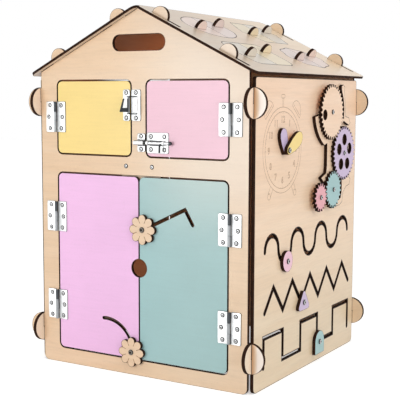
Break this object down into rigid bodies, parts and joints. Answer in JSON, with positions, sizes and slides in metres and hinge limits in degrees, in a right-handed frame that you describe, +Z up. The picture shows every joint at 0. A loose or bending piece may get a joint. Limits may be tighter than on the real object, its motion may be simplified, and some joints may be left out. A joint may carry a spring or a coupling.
{
  "type": "activity house",
  "caption": "Gabled plywood play house with hinged shutters and doors, latches, flower catches, a clock, a gear train, tracks with sliding knobs and lift-out roof puzzles.",
  "frame": {"origin": "centre of the plan on the surface that the walls stand on", "axes": "+Z up; the gabled front with its doors faces -Y; the wall with the clock and gears faces +X; the ridge runs along Y"},
  "size_m": [0.4524, 0.4444, 0.593],
  "materials": {
    "birch": "bare birch plywood, laser-cut edges",
    "yellow_paint": "satin paint",
    "pink_paint": "satin paint",
    "lilac_paint": "satin paint",
    "violet_paint": "satin paint",
    "teal_paint": "satin paint",
    "blue_paint": "satin paint",
    "zinc": "bright zinc plate"
  },
  "bodies": {
    "house": {"front_panel": "birch", "back_panel": "birch", "left_wall": "birch", "right_wall": "birch", "left_roof": "birch", "right_roof": "birch", "puzzle_board": "birch", "door_stop": "birch", "gear_plate": "birch", "latch_strike": "zinc", "bolt_keeper": "zinc", "clock_bolt": "zinc", "stop_screw_left": "zinc", "stop_screw_right": "zinc", "yellow_hinge_frame_leaf": "zinc", "pink_hinge_frame_leaf": "zinc", "lilac_lower_hinge_frame_leaf": "zinc", "lilac_upper_hinge_frame_leaf": "zinc", "teal_lower_hinge_frame_leaf": "zinc", "teal_upper_hinge_frame_leaf": "zinc"},
    "yellow_shutter": {"yellow_shutter": "yellow_paint", "yellow_hinge_door_leaf": "zinc", "latch_base": "zinc"},
    "latch_lever": {"latch_lever": "zinc"},
    "latch_bail": {"latch_bail": "zinc"},
    "pink_shutter": {"pink_shutter": "pink_paint", "pink_hinge_door_leaf": "zinc", "bolt_plate": "zinc"},
    "bolt_rod": {"bolt_rod": "zinc"},
    "lilac_door": {"lilac_door": "lilac_paint", "lilac_lower_hinge_door_leaf": "zinc", "lilac_upper_hinge_door_leaf": "zinc"},
    "teal_door": {"teal_door": "teal_paint", "teal_lower_hinge_door_leaf": "zinc", "teal_upper_hinge_door_leaf": "zinc"},
    "upper_flower": {"flower_upper": "birch", "flower_upper_bolt": "zinc"},
    "lower_flower": {"flower_lower": "birch", "flower_lower_bolt": "zinc"},
    "hour_hand": {"hour_hand": "violet_paint"},
    "minute_hand": {"minute_hand": "yellow_paint"},
    "gear_natural": {"gear_natural": "birch"},
    "gear_lilac": {"gear_lilac": "violet_paint"},
    "gear_teal": {"gear_teal": "teal_paint"},
    "gear_pink": {"gear_pink": "pink_paint"},
    "disc_knob": {"disc_knob": "pink_paint", "disc_knob_bolt": "zinc"},
    "triangle_knob": {"triangle_knob": "violet_paint", "triangle_knob_bolt": "zinc"},
    "arch_knob": {"arch_knob": "teal_paint", "arch_knob_bolt": "zinc"},
    "puzzle_a_front": {"puzzle_a_front": "pink_paint"},
    "puzzle_a_back": {"puzzle_a_back": "violet_paint"},
    "puzzle_b_front": {"puzzle_b_front": "yellow_paint"},
    "puzzle_b_back": {"puzzle_b_back": "blue_paint"},
    "puzzle_c_front": {"puzzle_c_front": "blue_paint"},
    "puzzle_c_back": {"puzzle_c_back": "yellow_paint"},
    "puzzle_d_front": {"puzzle_d_front": "violet_paint"},
    "puzzle_d_back": {"puzzle_d_back": "pink_paint"}
  },
  "joints": [
    {"name": "yellow_shutter_hinge", "type": "hinge", "parent": "house", "child": "yellow_shutter", "pos_m": [-0.167, -0.2039, 0.41711], "axis": [0, 0, -1], "range_deg": [0, 110]},
    {"name": "latch_lever_hinge", "type": "hinge", "parent": "yellow_shutter", "child": "latch_lever", "pos_m": [-0.01935, -0.2053, 0.43734], "axis": [0, 0, 1], "range_deg": [-20, 60]},
    {"name": "latch_bail_hinge", "type": "hinge", "parent": "yellow_shutter", "child": "latch_bail", "pos_m": [-0.01935, -0.2053, 0.43734], "axis": [0, 0, -1], "range_deg": [0, 100]},
    {"name": "pink_shutter_hinge", "type": "hinge", "parent": "house", "child": "pink_shutter", "pos_m": [0.167, -0.2039, 0.41711], "axis": [0, 0, 1], "range_deg": [0, 110]},
    {"name": "bolt_slide", "type": "slide", "parent": "pink_shutter", "child": "bolt_rod", "axis": [-1, 0, 0], "range_m": [0, 0.008]},
    {"name": "teal_door_hinge", "type": "hinge", "parent": "house", "child": "teal_door", "pos_m": [0.167, -0.2039, 0.17555], "axis": [0, 0, 1], "range_deg": [0, 110]},
    {"name": "lilac_door_hinge", "type": "hinge", "parent": "house", "child": "lilac_door", "pos_m": [-0.167, -0.2039, 0.17555], "axis": [0, 0, -1], "range_deg": [0, 110]},
    {"name": "upper_flower_slide", "type": "slide", "parent": "teal_door", "child": "upper_flower", "axis": [0.9047, 0, 0.426], "range_m": [0, 0.085]},
    {"name": "lower_flower_swing", "type": "hinge", "parent": "lilac_door", "child": "lower_flower", "pos_m": [-0.06649, -0.2013, 0.03369], "axis": [0, -1, 0], "range_deg": [0, 90]},
    {"name": "hour_hand_turn", "type": "hinge", "parent": "house", "child": "hour_hand", "pos_m": [0.2053, -0.103, 0.3685], "axis": [1, 0, 0], "continuous": true},
    {"name": "minute_hand_turn", "type": "hinge", "parent": "house", "child": "minute_hand", "pos_m": [0.2111, -0.103, 0.3685], "axis": [1, 0, 0], "continuous": true},
    {"name": "gear_natural_turn", "type": "hinge", "parent": "house", "child": "gear_natural", "pos_m": [0.2111, 0.0627, 0.426], "axis": [1, 0, 0], "continuous": true},
    {"name": "gear_lilac_turn", "type": "hinge", "parent": "house", "child": "gear_lilac", "pos_m": [0.2111, 0.11647, 0.35413], "axis": [1, 0, 0], "continuous": true},
    {"name": "gear_teal_turn", "type": "hinge", "parent": "house", "child": "gear_teal", "pos_m": [0.2111, 0.07235, 0.29318], "axis": [1, 0, 0], "continuous": true},
    {"name": "gear_pink_turn", "type": "hinge", "parent": "house", "child": "gear_pink", "pos_m": [0.2111, 0.02034, 0.2841], "axis": [1, 0, 0], "continuous": true},
    {"name": "disc_knob_slide", "type": "hinge", "parent": "house", "child": "disc_knob", "pos_m": [0.2053, -0.09077, 0.21447], "axis": [1, 0, 0], "range_deg": [-85, 85]},
    {"name": "triangle_knob_slide", "type": "slide", "parent": "house", "child": "triangle_knob", "axis": [0, 0.6345, 0.773], "range_m": [0, 0.0529]},
    {"name": "arch_knob_slide", "type": "slide", "parent": "house", "child": "arch_knob", "axis": [0, 1, 0], "range_m": [0, 0.0664]},
    {"name": "puzzle_a_front_lift", "type": "slide", "parent": "house", "child": "puzzle_a_front", "axis": [0.4431, 0, 0.8965], "range_m": [0, 0.02]},
    {"name": "puzzle_a_back_lift", "type": "slide", "parent": "house", "child": "puzzle_a_back", "axis": [0.4431, 0, 0.8965], "range_m": [0, 0.02]},
    {"name": "puzzle_b_front_lift", "type": "slide", "parent": "house", "child": "puzzle_b_front", "axis": [0.4431, 0, 0.8965], "range_m": [0, 0.02]},
    {"name": "puzzle_b_back_lift", "type": "slide", "parent": "house", "child": "puzzle_b_back", "axis": [0.4431, 0, 0.8965], "range_m": [0, 0.02]},
    {"name": "puzzle_c_front_lift", "type": "slide", "parent": "house", "child": "puzzle_c_front", "axis": [0.4431, 0, 0.8965], "range_m": [0, 0.02]},
    {"name": "puzzle_c_back_lift", "type": "slide", "parent": "house", "child": "puzzle_c_back", "axis": [0.4431, 0, 0.8965], "range_m": [0, 0.02]},
    {"name": "puzzle_d_front_lift", "type": "slide", "parent": "house", "child": "puzzle_d_front", "axis": [0.4431, 0, 0.8965], "range_m": [0, 0.02]},
    {"name": "puzzle_d_back_lift", "type": "slide", "parent": "house", "child": "puzzle_d_back", "axis": [0.4431, 0, 0.8965], "range_m": [0, 0.02]}
  ],
  "couplings": [
    {"joint": "lilac_door_hinge", "follows": "teal_door_hinge", "ratio": 1},
    {"joint": "gear_lilac_turn", "follows": "gear_natural_turn", "ratio": -1},
    {"joint": "gear_teal_turn", "follows": "gear_natural_turn", "ratio": 1.4783},
    {"joint": "gear_pink_turn", "follows": "gear_natural_turn", "ratio": -2}
  ]
}
